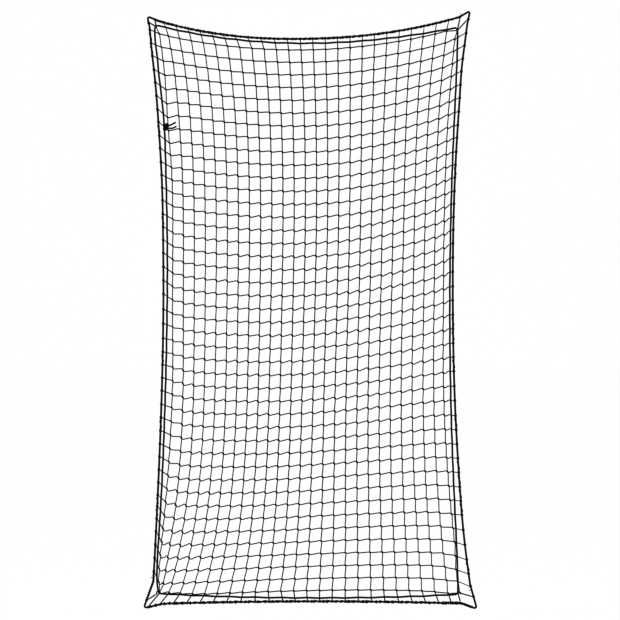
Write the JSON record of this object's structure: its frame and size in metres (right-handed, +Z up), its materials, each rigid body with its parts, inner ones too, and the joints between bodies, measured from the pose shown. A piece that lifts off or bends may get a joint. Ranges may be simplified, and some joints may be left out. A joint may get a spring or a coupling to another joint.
{
  "type": "pitching target net",
  "caption": "Hung panel of black knotted netting with a rope border, four corner eyes for hooks and a draw cord woven through its edge meshes; a target behind a plate.",
  "frame": {"origin": "the hook's seat in the top left corner eye: the centre of the rope's bend, in the panel's plane", "axes": "X runs across the panel to the right as seen from the front, Y runs through the panel with the front at -Y, and Z points up along the panel's height"},
  "size_m": [1.2001, 0.019, 2.1504],
  "materials": {
    "border_rope": "black laid synthetic rope, worn matt",
    "netting_twine": "black twisted and tarred netting twine",
    "lashing_twine": "black twisted twine, hitched tight",
    "draw_cord": "black braided synthetic cord"
  },
  "bodies": {
    "root": {"border_rope_top": "border_rope", "border_rope_right": "border_rope", "border_rope_bottom": "border_rope", "border_rope_left": "border_rope", "corner_eye_top_left": "border_rope", "corner_eye_top_right": "border_rope", "corner_eye_bottom_right": "border_rope", "corner_eye_bottom_left": "border_rope", "border_rope_end": "border_rope", "border_seizing": "lashing_twine", "net_rows": "netting_twine", "net_columns": "netting_twine", "net_knots": "netting_twine", "corner_mesh_top_left": "netting_twine", "corner_mesh_top_right": "netting_twine", "corner_mesh_bottom_right": "netting_twine", "corner_mesh_bottom_left": "netting_twine", "lashing_top": "lashing_twine", "lashing_right": "lashing_twine", "lashing_bottom": "lashing_twine", "lashing_left": "lashing_twine", "draw_cord_top": "draw_cord", "draw_cord_right": "draw_cord", "draw_cord_bottom": "draw_cord", "draw_cord_left_lower": "draw_cord", "draw_cord_left_upper": "draw_cord", "cord_bend_top_left": "draw_cord", "cord_bend_top_right": "draw_cord", "cord_bend_bottom_right": "draw_cord", "cord_bend_bottom_left": "draw_cord", "draw_cord_knot": "draw_cord", "cord_tail_upper": "draw_cord", "cord_tail_lower": "draw_cord"}
  },
  "joints": []
}
